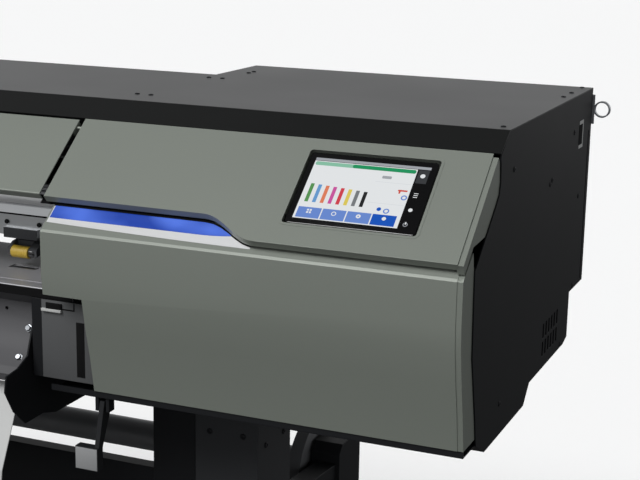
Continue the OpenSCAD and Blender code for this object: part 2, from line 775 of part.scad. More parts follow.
// Bent floor of each housing, with the opening that the leg passes through
module tray(x0, x1, path) {
    difference() {
        along_x(x0, x1) polygon(bent(path, sheet));
        for (s = [-1, 1])
            block([s * leg_mid - leg_w / 2 - 3, leg_y0 - 3, floor_z - 10],
                [s * leg_mid + leg_w / 2 + 3, leg_y1 + 3, frame_z0 - 1]);
    }
}
module bottom_trays() {
    start = [[front_y + 35, rim_z - 1], [front_y + 35, lip_z], [front_y + 87, lip_z], [floor_y0, floor_z],
        [floor_y1, floor_z], [back_y0, back_z]];
    color(black) {
        tray(right_x, inside_x, concat(start, [[back_y1, back_z], [shelf_y, rim_z], [shelf_y, shelf_z],
            [right_rear_y - sheet, shelf_z]]));
        tray(-inside_x, left_x, concat(start, [[mid_rear_y - sheet, back_z]]));
        for (x = [lever_x - 12, lever_x + 6])
            block([x, lever_y - 8, lever_z - 8], [x + 6, lever_y + 8, lip_z]);
        rod_x(lever_x - 12, lever_x + 12, lever_y, lever_z, lever_r);
    }
}
module front_cover() {
    x0 = left_x + cover_gap;
    x1 = right_x - cover_gap;
    color(panel)
        on_slope() {
            translate([x0, -front_l, -sheet]) cube([x1 - x0, front_l - 4, sheet]);
            translate([x0, -front_l, -lip_d]) cube([x1 - x0, sheet, lip_d]);
            for (x = [x0, x1 - 4])
                translate([x, -pivot_u - 12, -lip_d]) cube([4, 22, lip_d - sheet / 2]);
            for (x = [x0 - cover_gap - 3, x1 - 4])
                translate([x, -pivot_u, pivot_n]) rotate([0, 90, 0]) cylinder(h = cover_gap + 7,
                    r = pivot_r, $fn = 48);
        }
}
module rear_cover() {
    flange = 15;
    inlet_x = left_x - 268;
    color(satin)
        difference() {
            union() {
                block([step_x + sheet, right_rear_y - sheet, shelf_z],
                    [side_x, right_rear_y, top_z - flange]);
                block([step_x, mid_rear_y, shelf_z + sheet], [step_x + sheet, right_rear_y,
                    top_z - flange]);
                block([inner_left, mid_rear_y - sheet, top_z - 200],
                    [step_x + sheet, mid_rear_y, top_z - flange]);
                block([-side_x, mid_rear_y - sheet, back_z], [inner_left, mid_rear_y, top_z - flange]);
            }
            block([door_x0 - 2, right_rear_y - 5, door_z0 - 4],
                [door_x1 + 2, right_rear_y + 1, door_z1 + 2]);
            block([inlet_x - 25, mid_rear_y - 5, back_z + 40], [inlet_x + 25, mid_rear_y + 1, back_z + 70]);
            block([inlet_x + 45, mid_rear_y - 5, back_z + 40], [inlet_x + 67, mid_rear_y + 1, back_z + 70]);
        }
}
module touch_panel() {
    color(black)
        on_slope()
            translate([screen_x0, -screen_u1, -screen_t - 2]) cube([screen_w, screen_h, screen_t]);
}
// Blue and silver strip on the ledge, tapering to the right
module accent_strip() {
    ledge_l = norm(lower_path[1] - ledge_top);
    ledge_a = atan2(ledge_top[1] - lower_path[1][1], ledge_top[0] - lower_path[1][0]);
    color([0.25, 0.36, 0.76])
        translate([0, ledge_top[0], ledge_top[1]])
            rotate([ledge_a, 0, 0])
                linear_extrude(1)
                    polygon(concat([[right_x + 12, -1], [right_x + 12, -ledge_l + 12]],
                        [for (i = [0 : 10]) [right_x + 12 + (s_end - right_x - 20) * i / 10,
                            -ledge_l + 12 - 6 * sin(90 * i / 10)]], [[s_end - 8, -1]]));
}
module clip_ring(x, y) {
    difference() {
        rod_y(y + 2, y + 10, x, top_z - 37, 14);
        rod_y(y + 1, y + 11, x, top_z - 37, 11.5);
    }
}
module cable_clips() {
    color(light) {
        block([side_x - 22, right_rear_y, top_z - 62], [side_x + 4, right_rear_y + 2, top_z - 12]);
        clip_ring(side_x + clip_out - 14, right_rear_y);
        block([-side_x - 4, mid_rear_y, top_z - 62], [-side_x + 22, mid_rear_y + 2, top_z - 12]);
        clip_ring(-side_x - clip_out + 14, mid_rear_y);
    }
}
module cover_screws() {
    head = 1.4;
    // Distances in from the right side plate and back from the top front corner
    top_marks = [[17, 25], [17, 381], [17, 437], [17, 515], [599, 66], [624, 67], [598, 314], [624, 314],
        [593, 409], [593, 430]];
    // Distances back from the top front corner and down from the top cover
    side_marks = [[250, 120], [262, 115], [455, 175], [450, 330], [30, 60], [10, 400], [400, 60],
        [380, 415]];
    color(black) {
        for (m = top_marks) rod_z(top_z, top_z + head, side_x - m[0], top_y + m[1], 4);
        for (x = [-side_x + 20, -side_x + 420, -400, 200], y = [30, 330]) rod_z(top_z, top_z + head, x,
            top_y + y, 4);
        for (m = side_marks) rod_x(side_x, side_x + head, top_y + m[0], top_z - m[1], 4);
        for (z = [80, 200]) rod_x(-side_x - head, -side_x, top_y + 250, top_z - z, 4);
    }
}
module load_lever() {
    color(black)
        difference() {
            union() {
                along_x(lever_x - 4, lever_x + 4)
                    polygon([[lever_y - 8, lever_z + 8], [lever_y + 10, lever_z + 8],
                        [lever_y + 10, lever_z - 10],
                        [lever_y - 14, lever_z - 62], [lever_y - 26, lever_z - 62]]);
                block([lever_x - 35, lever_y - 30, lever_z - 96], [lever_x + 4, lever_y - 14, lever_z - 60]);
            }
            rod_x(lever_x - 5, lever_x + 5, lever_y, lever_z, lever_r + running);
        }
}
module ink_bay() {
    wall = 3;
    y0 = right_rear_y - 150;
    y1 = right_rear_y - 10;
    pitch = (door_x1 - door_x0 - 12) / 8;
    inks = [[0.15, 0.5, 0.3], [0.2, 0.4, 0.75], [0.85, 0.5, 0.2], [0.7, 0.2, 0.5], [0.75, 0.15, 0.15],
        [0.85, 0.75, 0.2],
        [0.5, 0.5, 0.5], [0.1, 0.1, 0.1]];
    color(dark)
        difference() {
            block([door_x0 - wall - 2, y0, door_z0 - 8], [door_x1 + wall + 2, right_rear_y - sheet,
                door_z1 + 5]);
            block([door_x0 - 2, y0 + wall, door_z0 - 5], [door_x1 + 2, right_rear_y, door_z1 + 2]);
            rod_x(door_x0 - wall - 3, door_x1 + wall + 3, door_pin_y, door_pin_z, door_pin_r + running);
        }
    for (i = [0 : 7])
        color(inks[i])
            block([door_x0 + 6 + i * pitch + 4, y0 + wall, door_z0 + 10],
                [door_x0 + 6 + (i + 1) * pitch - 4, y1 - 10, door_z1 - 12]);
}
module ink_door() {
    color(satin) {
        block([door_x0, right_rear_y - sheet, door_z0], [door_x1, right_rear_y, door_z1]);
        for (x = [door_x0, door_x1 - 4])
            block([x, door_pin_y - 5, door_z0 + 1], [x + 4, right_rear_y - sheet / 2, door_z0 + 14]);
        for (x = [door_x0 - 4.5, door_x1 - 4])
            rod_x(x, x + 8.5, door_pin_y, door_pin_z, door_pin_r);
    }
}
module power_inlet() {
    inlet_x = left_x - 268;
    y = mid_rear_y;
    color(black) {
        difference() {
            block([inlet_x - 25, y - 22, back_z + 40], [inlet_x + 25, y + 2, back_z + 70]);
            block([inlet_x - 14, y - 16, back_z + 46], [inlet_x + 14, y + 3, back_z + 64]);
        }
    }
    color(black)
        block([inlet_x + 43, y - 24, back_z + 38], [inlet_x + 69, y - 9, back_z + 72]);
    color(silver)
        for (x = [-8, 0, 8]) block([inlet_x + x - 1, y - 16, back_z + 52],
            [inlet_x + x + 1, y - 2, back_z + 58]);
}
module power_switch() {
    switch_x = left_x - 212;
    y = mid_rear_y;
    z = back_z + 55;
    color(black)
        along_x(switch_x - 9, switch_x + 9)
            polygon([[y - 8, z - 5], [y + 1.5, z - 12], [y + 3, z - 11.5], [y + 1, z],
                [y + 5, z + 11.5], [y + 3.5, z + 12.5], [y - 8, z + 5]]);
}

// ---- take-up and roll holder ----
take_x = leg_x0 - 60;
module takeup_units() {
    color(dark)
        both_sides()
            difference() {
                along_x(take_x, leg_x0 + 50)
                    polygon([[take_y - 62, take_z - 50], [take_y - 50, take_z - 62], [leg_y0, take_z - 62],
                        [leg_y0, take_z + 62], [take_y - 40, take_z + 62], [take_y - 62, take_z + 40]]);
                block([take_x + 34, take_y - 40, take_z - 50], [leg_x0 + 46, leg_y0 - 4, take_z + 50]);
                rod_x(take_x - 1, take_x + 31, take_y, take_z, journal_r + running);
            }
}
module takeup_shaft() {
    x = take_x - 12;
    color(silver) {
        difference() {
            rod_x(-x, x, take_y, take_z, take_r);
            rod_x(-x + 20, x - 20, take_y, take_z, take_r - tube_wall);
        }
        both_sides() rod_x(x - 15, take_x + 30, take_y, take_z, journal_r);
    }
    color(light)
        for (s = [-1, 1])
            rod_x(s * (x - 45) - 5, s * (x - 45) + 5, take_y, take_z, 85);
}
module dancer_bar() {
    arm_x = take_x - 6;
    bar_y = front_y + 62;
    bar_z = dancer_z - 40;
    color(light)
        difference() {
            rod_x(-arm_x, arm_x, bar_y, bar_z, 15);
            rod_x(-arm_x + 10, arm_x - 10, bar_y, bar_z, 15 - tube_wall);
        }
    color(dark)
        both_sides() {
            along_x(arm_x - 6, arm_x)
                polygon([[bar_y - 12, bar_z - 12], [bar_y + 12, bar_z - 14], [dancer_y + 10, dancer_z - 14],
                    [dancer_y + 10, dancer_z + 12], [dancer_y - 10, dancer_z + 14],
                        [bar_y - 12, bar_z + 14]]);
            rod_x(arm_x - 6, leg_x0 + tube_wall + 1, dancer_y, dancer_z, axle_r);
        }
}
hold_x0 = leg_x1 - 52;
hold_x1 = leg_x1 + 4;
module roll_holders() {
    color(dark)
        both_sides()
            difference() {
                union() {
                    along_x(hold_x0, hold_x1)
                        polygon([[roll_y - 50, roll_z - 60], [roll_y + 35, roll_z - 60],
                            [roll_y + 55, roll_z - 40],
                            [roll_y + 55, roll_z + 50], [roll_y + 40, roll_z + 65],
                                [roll_y - 35, roll_z + 65],
                            [roll_y - 50, roll_z + 50]]);
                    along_x(hold_x0 + 8, leg_x1 - 4)
                        polygon([[leg_y1, roll_z - 45], [roll_y - 49, roll_z - 30],
                            [roll_y - 49, roll_z + 30], [leg_y1, roll_z + 45]]);
                }
                rod_x(hold_x0 - 1, hold_x0 + 36, roll_y, roll_z, journal_r + running);
                block([hold_x0 + 39, roll_y - 40, roll_z - 50], [hold_x1 - 3, roll_y + 40, roll_z + 50]);
            }
}
module roll_shaft() {
    tube_x = hold_x0 - 30;
    color(dark)
        difference() {
            rod_x(-tube_x, tube_x, roll_y, roll_z, roll_r);
            rod_x(-tube_x + 20, tube_x - 20, roll_y, roll_z, roll_r - tube_wall);
        }
    color(light)
        both_sides() {
            rod_x(tube_x, hold_x0 - 6, roll_y, roll_z, flange_r);
            rod_x(tube_x, hold_x0 + 35, roll_y, roll_z, journal_r);
        }
}
module waste_bottle() {
    x = -leg_x1 - 72;
    y = leg_y0 + 72;
    z = 563.4;
    color(light)
        difference() {
            union() {
                block([x - 55, y - 48, z], [x + 55, y + 48, z + 190]);
                rod_z(z + 190, z + 225, x, y, 22);
            }
            block([x - 52, y - 45, z + 3], [x + 52, y + 45, z + 187]);
            rod_z(z + 180, z + 226, x, y, 18);
        }
}

stand_leg_left();
stand_leg_right();
inner_posts();
cross_beam();
caster_fork_front_left();
caster_fork_front_right();
caster_fork_rear_left();
caster_fork_rear_right();
caster_wheel_front_left();
caster_wheel_front_right();
caster_wheel_rear_left();
caster_wheel_rear_right();
levelling_feet();
base_frame();
end_frames();
inner_frames();
rail_beam();
linear_rail();
platen();
front_apron();
apron_brackets();
rear_apron();
grit_roller();
pinch_arms();
pinch_rollers();
drive_motors();
head_carriage();
print_heads();
cutter_carriage();
blade_holder();
carriage_belt();
drive_pulley();
idler_pulley();
cap_station();
top_cover();
right_upper_cover();
right_lower_cover();
right_side_plate();
left_upper_cover();
left_lower_cover();
left_side_plate();
bottom_trays();
front_cover();
rear_cover();
touch_panel();
accent_strip();
cable_clips();
cover_screws();
load_lever();
ink_bay();
ink_door();
power_inlet();
power_switch();
takeup_shaft();
takeup_units();
dancer_bar();
roll_shaft();
roll_holders();
waste_bottle();
media_guide();
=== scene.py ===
# %% [markdown]
# # A wide-format printer cutter
# This lesson dresses a imported model of a floor-standing printer cutter: a long housing with tilted
# covers and a touch screen, on a castor stand. The imported parts fix every size, so the first step
# loads them.

# %% Load the frame
import json
import math

import bmesh
import bpy
from mathutils import Matrix, Vector


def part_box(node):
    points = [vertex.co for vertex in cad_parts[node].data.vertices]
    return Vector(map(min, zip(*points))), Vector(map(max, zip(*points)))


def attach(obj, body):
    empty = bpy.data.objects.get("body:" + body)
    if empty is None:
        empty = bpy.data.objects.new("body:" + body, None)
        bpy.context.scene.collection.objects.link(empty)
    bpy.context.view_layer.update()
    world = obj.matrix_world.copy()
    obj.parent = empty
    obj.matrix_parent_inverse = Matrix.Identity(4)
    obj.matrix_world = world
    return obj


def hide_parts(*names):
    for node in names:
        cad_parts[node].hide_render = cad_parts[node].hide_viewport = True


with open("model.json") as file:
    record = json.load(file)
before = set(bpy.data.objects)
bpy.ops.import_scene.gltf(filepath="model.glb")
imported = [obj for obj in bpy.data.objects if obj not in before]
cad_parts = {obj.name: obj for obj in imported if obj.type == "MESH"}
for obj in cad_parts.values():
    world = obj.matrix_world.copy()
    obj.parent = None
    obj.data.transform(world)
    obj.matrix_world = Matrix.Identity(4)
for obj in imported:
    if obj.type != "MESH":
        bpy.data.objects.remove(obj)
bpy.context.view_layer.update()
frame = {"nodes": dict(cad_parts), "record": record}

BODY = {part: body for body, parts in frame["record"]["behaviour"]["bodies"].items() for part in parts}
SLOT = {row["node"]: row["material_slot"] for row in frame["record"]["subparts"]}
MM = 0.001

# %% [markdown]
# ## Camera
# The view is a close look at the right end, from the front right and a little above. A long lens keeps
# the long edges almost parallel. The turn, tilt and roll are given as angles, so they can be trimmed.

# %% Camera
CAMERA_PLACE = Vector((1940, -2071, 1823)) * MM
TURN, TILT, ROLL = math.radians(22.536), math.radians(13.329), math.radians(1.052)
bpy.ops.object.camera_add(location=CAMERA_PLACE)
camera = bpy.context.object
camera.name = "studio_camera"
camera.rotation_euler = (
    Matrix.Rotation(TURN, 4, "Z") @ Matrix.Rotation(math.pi / 2 - TILT, 4, "X")
    @ Matrix.Rotation(ROLL, 4, "Z")
).to_euler()
camera.data.sensor_width = 36
camera.data.lens = 80.83
camera.data.dof.use_dof = False
camera.data.clip_end = 200
bpy.context.scene.camera = camera
print("lens", round(camera.data.lens, 1), "mm")

# %% [markdown]
# ## Studio
# A pale floor, a soft sky, and one broad lamp from the front left. The sky is bright near the horizon
# and dim overhead. Satin black paint mirrors what faces it, so the flat top shows the bright walls at a
# low angle, while the band in front of it mirrors the dim ceiling and stays black.

# %% Colour helper
def shade(code):
    """Linear colour of an sRGB hex value."""
    parts = [int(code[i:i + 2], 16) / 255 for i in (1, 3, 5)]
    return tuple(c / 12.92 if c <= 0.04045 else ((c + 0.055) / 1.055) ** 2.4 for c in parts) + (1.0,)


def add(tree, kind, settings=None, links=None):
    """Adds a node; settings name sockets or properties, links name input sockets and their sources."""
    made = tree.nodes.new(kind)
    for name, value in (settings or {}).items():
        if name in made.inputs:
            made.inputs[name].default_value = value
        else:
            setattr(made, name, value)
    for name, source in (links or {}).items():
        tree.links.new(source, made.inputs[name])
    return made


print("mid grey is", [round(c, 3) for c in shade("#808080")[:3]])

# %% Sky
world = bpy.data.worlds.new("studio_sky")
bpy.context.scene.world = world
world.use_nodes = True
sky = world.node_tree
sky.nodes.clear()
direction = add(sky, "ShaderNodeTexCoord")
height = add(sky, "ShaderNodeSeparateXYZ", links={"Vector": direction.outputs["Generated"]})
lift = add(sky, "ShaderNodeMapRange", {"From Min": 0.05, "From Max": 0.75, "To Min": 1.15, "To Max": 0.12},
           {"Value": height.outputs["Z"]})
below = add(sky, "ShaderNodeMapRange", {"From Min": -0.16, "From Max": 0.02, "To Min": 0.06, "To Max": 1.0},
            {"Value": height.outputs["Z"]})
power = add(sky, "ShaderNodeMath", {"operation": "MULTIPLY"})
sky.links.new(lift.outputs["Result"], power.inputs[0])
sky.links.new(below.outputs["Result"], power.inputs[1])
glow = add(sky, "ShaderNodeBackground", {"Color": shade("#fafbfc")}, {"Strength": power.outputs["Value"]})
add(sky, "ShaderNodeOutputWorld", links={"Surface": glow.outputs["Background"]})
bpy.context.scene.view_settings.view_transform = "Standard"
bpy.context.scene.view_settings.look = "None"
print("sky nodes", len(sky.nodes))

# %% Key lamp
KEY_PLACE, KEY_TARGET = Vector((-2.6, -5.6, 6.8)), Vector((0, 0, 0.6))
KEY_ENERGY, KEY_SPREAD = 3.0, math.radians(30)
bpy.ops.object.light_add(type="SUN", location=KEY_PLACE)
key = bpy.context.object
key.name = "key_lamp"
key.rotation_euler = (KEY_TARGET - KEY_PLACE).to_track_quat("-Z", "Y").to_euler()
key.data.energy = KEY_ENERGY
key.data.angle = KEY_SPREAD
print("key lamp energy", key.data.energy)

# %% [markdown]
# ## Finishes
# Almost every surface here is sheet metal or moulded plastic, so one recipe serves them all: a fine
# grain changes the tone a little, the same grain raises a bump as deep as the real texture, and a wide,
# slow pattern shifts the gloss, as handling and uneven coating do. Only the numbers differ.

# %% Recipe for a finish
def finish(name, tone, rough, metal=0.0, grain=1.2, depth=0.01, spread=0.05, gloss_spread=0.015, patch=300,
           stretch=(1, 1, 1), **sockets):
    """A material with grain of that size and depth in mm, on Object coordinates."""
    made = bpy.data.materials.new(name)
    made.use_nodes = True
    tree = made.node_tree
    tree.nodes.clear()
    place = add(tree, "ShaderNodeTexCoord")
    fit = add(tree, "ShaderNodeMapping", {"Scale": [s / (grain * MM) for s in stretch]},
              {"Vector": place.outputs["Object"]})
    fine = add(tree, "ShaderNodeTexNoise", {"Scale": 1.0, "Detail": 3.0}, {"Vector": fit.outputs["Vector"]})
    wide = add(tree, "ShaderNodeTexNoise", {"Scale": 1 / (patch * MM), "Detail": 2.0},
               {"Vector": place.outputs["Object"]})
    dark, light = ([c * (1 + s * spread) for c in shade(tone)[:3]] + [1.0] for s in (-1, 1))
    colour = add(tree, "ShaderNodeMixRGB", {"Color1": dark, "Color2": light}, {"Fac": fine.outputs["Fac"]})
    gloss = add(tree, "ShaderNodeMapRange", {"From Min": 0.3, "From Max": 0.7, "To Min": rough - gloss_spread,
                "To Max": rough + gloss_spread}, {"Value": wide.outputs["Fac"]})
    bump = add(tree, "ShaderNodeBump", {"Distance": depth * MM}, {"Height": fine.outputs["Fac"]})
    surface = add(tree, "ShaderNodeBsdfPrincipled", {"Metallic": metal, **sockets},
                  {"Base Color": colour.outputs["Color"], "Roughness": gloss.outputs["Result"],
                   "Normal": bump.outputs["Normal"]})
    add(tree, "ShaderNodeOutputMaterial", links={"Surface": surface.outputs["BSDF"]})
    return made


print("recipe ready")

# %% Painted sheet metal
DULL = {"Specular IOR Level": 0.12}
FINISH = {
    "grey_cover": finish("metallic_grey_paint", "#747972", 0.42, 0.25, grain=0.7, spread=0.08),
    "satin_steel": finish("satin_black_powder_coat", "#0f1010", 0.42, grain=1.4, depth=0.02,
                          **{"Specular IOR Level": 0.25}),
    "black_steel": finish("black_powder_coat", "#17181a", 0.50, grain=1.2, depth=0.02, **DULL),
    "dark_steel": finish("dark_grey_powder_coat", "#303133", 0.50, grain=1.2, depth=0.02, **DULL),
    "light_steel": finish("light_grey_powder_coat", "#a5a6a5", 0.45, grain=1.2, depth=0.02),
}
print("painted finishes", sorted(FINISH))

# %% Bare metal
FINISH["bare_steel"] = finish("ground_steel", "#a2a3a6", 0.30, 1.0, grain=0.3, stretch=(0.02, 1, 1),
                              depth=0.004)
FINISH["rail_aluminium"] = finish("anodised_aluminium", "#bfc1c3", 0.36, 1.0, grain=0.4, stretch=(0.02, 1, 1),
                                  depth=0.004)
FINISH["zinc_plate"] = finish("zinc_plated_steel", "#9c9fa3", 0.36, 1.0, grain=6, depth=0.0, spread=0.12)
print("bare metals", [m.name for m in FINISH.values()][-3:])

# %% Plastics and rubber
FINISH["black_plastic"] = finish("moulded_black_plastic", "#1a1b1d", 0.52, grain=0.6, depth=0.03, **DULL)
FINISH["white_plastic"] = finish("blow_moulded_polyethylene", "#d9d9d0", 0.42, grain=3, depth=0.05)
FINISH["castor_rubber"] = finish("castor_rubber", "#1b1b1b", 0.75, grain=1.0, depth=0.05, **DULL)
FINISH["belt_rubber"] = finish("belt_rubber", "#161616", 0.80, grain=0.8, depth=0.05, **DULL)
FINISH["gold_roller"] = finish("ground_polyurethane", "#b99c3a", 0.45, grain=0.5, depth=0.02, spread=0.10)
FINISH["screen_glass"] = finish("cover_glass", "#060607", 0.10, grain=4, depth=0.0, gloss_spread=0.02)
FINISH["blue_strip"] = finish("printed_blue_film", "#3a5ac0", 0.22, grain=2, depth=0.0)
print(len(FINISH), "finishes in all")

# %% Finish of each part
for part, node in frame["nodes"].items():
    node.data.materials.clear()
    node.data.materials.append(FINISH[SLOT[part]])
print(len(frame["nodes"]), "parts have a finish")

# %% Parts with a tone of their own, and the apron's coat lightened as painted light
TONES_OWN_AND_PAINTED_LIGHT = {
    # The apron's grey is lighter than the dark grey powder coat of its slot: painted light, as if light struck
    # it.
    "front_apron": finish("grey_coat_lightened_as_painted_light", "#4d4d4f", 0.5, grain=1.2, depth=0.02, **DULL),
    "pinch_arms": finish("moulded_grey_plastic", "#444547", 0.5, grain=0.6, depth=0.03, **DULL),
    "roll_shaft": finish("grey_roll_tube", "#5a5b5d", 0.45, grain=1.0, depth=0.02),
    "platen": finish("grey_anodised_platen", "#98989b", 0.38, 0.5, grain=0.5, depth=0.004,
                     stretch=(0.03, 1, 1)),
}
for part, look in TONES_OWN_AND_PAINTED_LIGHT.items():
    frame["nodes"][part].data.materials.clear()
    frame["nodes"][part].data.materials.append(look)
print("own tone:", sorted(TONES_OWN_AND_PAINTED_LIGHT))

# %% [markdown]
# ## Folded covers
# Each cover is bent from sheet, so its folds have a radius and catch a thin line of light, which a
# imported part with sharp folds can't show. A copy of the part keeps the exact size. Its loose triangles
# are merged, flat areas are cleaned up, and then folds and rims are bevelled.

# %% Selection helpers
def only(piece):
    """Selects this piece alone."""
    bpy.ops.object.select_all(action="DESELECT")
    piece.select_set(True)
    bpy.context.view_layer.objects.active = piece


def pick_edges(piece, test):
    """In edit mode, selects the edges that pass the test and returns their number."""
    bpy.ops.mesh.select_mode(type="EDGE")
    bpy.ops.mesh.select_all(action="DESELECT")
    mesh = bmesh.from_edit_mesh(piece.data)
    found = [e for e in mesh.edges if len(e.link_faces) == 2 and test(e)]
    for edge in found:
        edge.select_set(True)
    bmesh.update_edit_mesh(piece.data)
    return len(found)


def is_fold(edge):
    """A convex edge between two broad faces: a fold, not the rim of a sheet."""
    length = edge.calc_length()
    return (edge.is_convex and length > 20 * MM and edge.calc_face_angle() > math.radians(8)
            and all(f.calc_area() / length > 4 * MM for f in edge.link_faces))


print("selection helpers ready")

# %% Rounded copies
def rounded(part, fold=2.0, rim=0.4):
    """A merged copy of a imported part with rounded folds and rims, widths in mm."""
    piece = bpy.data.objects.new(part + "_piece", frame["nodes"][part].data.copy())
    bpy.context.scene.collection.objects.link(piece)
    only(piece)
    bpy.ops.object.mode_set(mode="EDIT")
    bpy.ops.mesh.select_all(action="SELECT")
    bpy.ops.mesh.remove_doubles(threshold=0.01 * MM)
    bpy.ops.mesh.dissolve_limited(angle_limit=math.radians(0.5))
    if pick_edges(piece, is_fold):
        bpy.ops.mesh.bevel(offset=fold * MM, segments=3, affect="EDGES", clamp_overlap=True)
    bpy.ops.object.mode_set(mode="OBJECT")
    if rim:
        bevel = piece.modifiers.new("rim", "BEVEL")
        bevel.width = rim * MM
        bevel.segments = 1
        bevel.limit_method = "ANGLE"
        bevel.angle_limit = math.radians(40)
        bpy.ops.object.modifier_apply(modifier="rim")
    bpy.ops.object.shade_smooth_by_angle(angle=math.radians(35))
    even = piece.modifiers.new("even", "WEIGHTED_NORMAL")
    even.keep_sharp = True
    bpy.ops.object.modifier_apply(modifier="even")
    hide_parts(part)
    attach(piece, BODY[part])
    return piece


print("rounding ready")

# %% Covers
for part in ("top_cover", "right_upper_cover", "right_lower_cover", "left_upper_cover", "left_lower_cover",
             "front_cover", "rear_cover", "bottom_trays", "right_side_plate", "left_side_plate"):
    piece = rounded(part)
    print(part, len(piece.data.polygons), "faces")

# %% Stand and frame
for part in ("stand_leg_left", "stand_leg_right", "inner_posts", "cross_beam", "base_frame", "apron_brackets",
             "front_apron", "rear_apron", "media_guide", "head_carriage", "cutter_carriage", "takeup_units",
             "roll_holders", "dancer_bar", "waste_bottle", "load_lever", "ink_door", "power_inlet"):
    piece = rounded(part, fold=1.5, rim=0.5)
    print(part, len(piece.data.polygons), "faces")

# %% [markdown]
# ## Touch screen
# A tablet sits in a pocket of the tilted panel. Its glass is black, with a lit picture just under the
# surface: a grey status bar, a green progress bar, one level bar for each ink, and a row of keys. Every
# mark is a thin slab, cut from a plane, so the picture stays sharp from any side. It has no lettering.

# %% The tilted frame
TILT_ANGLE = math.radians(39.5)


def tilted(y, z, angle=TILT_ANGLE):
    """A frame on a surface tilted back by that angle: x right, y up the slope, z out of it."""
    return Matrix.Translation((0, y, z)) @ Matrix.Rotation(angle, 4, "X")


def sides_of(part):
    """Height along the slope, thickness and centre of a packed slab that lies on the tilt."""
    low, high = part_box(part)
    deep, tall = high.y - low.y, high.z - low.z
    c, s = math.cos(TILT_ANGLE), math.sin(TILT_ANGLE)
    return (deep * c - tall * s) / (c * c - s * s), (tall * c - deep * s) / (c * c - s * s), (low + high) / 2


SCREEN_H, SCREEN_T, SCREEN_MID = sides_of("touch_panel")
SCREEN_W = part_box("touch_panel")[1].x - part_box("touch_panel")[0].x
SCREEN = tilted(SCREEN_MID.y, SCREEN_MID.z) @ Matrix.Translation((SCREEN_MID.x, 0, SCREEN_T / 2))
print("screen", [round(v / MM, 1) for v in (SCREEN_W, SCREEN_H, SCREEN_T)], "mm")

# %% Slabs and discs
def settle(piece, name, frame_at, look):
    """Applies the place of a new piece, names it and gives it its finish."""
    piece.matrix_world = frame_at @ piece.matrix_world
    only(piece)
    bpy.ops.object.transform_apply(location=True, rotation=True, scale=True)
    piece.name = piece.data.name = name
    piece.data.materials.clear()
    piece.data.materials.append(look)
    bpy.ops.object.shade_smooth_by_angle(angle=math.radians(35))
    return piece


def draw_up(thick):
    """In edit mode, extrudes the selected face by that height in mm and turns every normal outward."""
    bpy.ops.mesh.extrude_region_move(TRANSFORM_OT_translate={"value": (0, 0, thick * MM)})
    bpy.ops.mesh.select_all(action="SELECT")
    bpy.ops.mesh.normals_make_consistent(inside=False)


SAME_HEIGHT = 1e-7


def slab(name, box, thick, look, frame_at, corner=0.0, base=0.0, rim=0.0):
    """A flat piece over box = (left, low, right, high), all in mm, with rounded corners."""
    left, low, right, high = box
    bpy.ops.object.select_all(action="DESELECT")
    bpy.ops.mesh.primitive_plane_add(
        size=MM, location=((left + right) / 2 * MM, (low + high) / 2 * MM, base * MM))
    piece = bpy.context.object
    bpy.ops.object.mode_set(mode="EDIT")
    bpy.ops.transform.resize(value=(right - left, high - low, 1))
    if corner:
        bpy.ops.mesh.bevel(offset=corner * MM, segments=4, affect="VERTICES")
    draw_up(thick)
    if rim:
        pick_edges(piece, lambda e: all(abs(v.co.z - thick * MM) < SAME_HEIGHT for v in e.verts))
        bpy.ops.mesh.bevel(offset=rim * MM, segments=2, affect="EDGES")
    bpy.ops.object.mode_set(mode="OBJECT")
    return settle(piece, name, frame_at, look)


def disc(name, x, y, radius, thick, look, frame_at, base=0.0, hole=0.0):
    """A round flat piece about (x, y) in mm, with a hole if asked."""
    bpy.ops.object.select_all(action="DESELECT")
    bpy.ops.mesh.primitive_circle_add(vertices=24, radius=radius * MM, fill_type="NGON",
                                      location=(x * MM, y * MM, base * MM))
    piece = bpy.context.object
    bpy.ops.object.mode_set(mode="EDIT")
    if hole:
        bpy.ops.mesh.inset(thickness=(radius - hole) * MM)
        bpy.ops.mesh.delete(type="FACE")
        bpy.ops.mesh.select_all(action="SELECT")
    draw_up(thick)
    bpy.ops.object.mode_set(mode="OBJECT")
    return settle(piece, name, frame_at, look)


def joined(name, pieces, body):
    """Joins pieces into one, on a body."""
    bpy.ops.object.select_all(action="DESELECT")
    for piece in pieces:
        piece.select_set(True)
    bpy.context.view_layer.objects.active = pieces[0]
    bpy.ops.object.join()
    pieces[0].name = pieces[0].data.name = name
    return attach(pieces[0], body)


print("slab, disc and join helpers ready")

# %% Screen housing
half_w, half_h = SCREEN_W / MM / 2, SCREEN_H / MM / 2
case = slab("touch_panel_case", (-half_w, -half_h, half_w, half_h),
            SCREEN_T / MM, FINISH["screen_glass"], SCREEN, corner=5, base=-SCREEN_T / MM, rim=0.8)
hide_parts("touch_panel")
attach(case, BODY["touch_panel"])
print("housing faces", len(case.data.polygons))

# %% Pocket rim
def ring(name, box, wide, thick, look, frame_at, corner, base):
    """A flat ring around box, all in mm, with rounded corners."""
    left, low, right, high = box
    bpy.ops.object.select_all(action="DESELECT")
    bpy.ops.mesh.primitive_plane_add(
        size=MM, location=((left + right) / 2 * MM, (low + high) / 2 * MM, base * MM))
    piece = bpy.context.object
    bpy.ops.object.mode_set(mode="EDIT")
    bpy.ops.transform.resize(value=(right - left + 2 * wide, high - low + 2 * wide, 1))
    bpy.ops.mesh.bevel(offset=(corner + wide) * MM, segments=6, affect="VERTICES")
    bpy.ops.mesh.inset(thickness=wide * MM)
    bpy.ops.mesh.delete(type="FACE")
    bpy.ops.mesh.select_all(action="SELECT")
    draw_up(thick)
    bpy.ops.object.mode_set(mode="OBJECT")
    return settle(piece, name, frame_at, look)


RIM_GAP = 3.0
rim_w, rim_h = half_w + RIM_GAP, half_h + RIM_GAP
pocket = ring("pocket_rim", (-rim_w, -rim_h, rim_w, rim_h), 4.0, 0.9, FINISH["grey_cover"], SCREEN,
              corner=4.5, base=1.6)
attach(pocket, BODY["right_upper_cover"])
print("pocket rim faces", len(pocket.data.polygons))

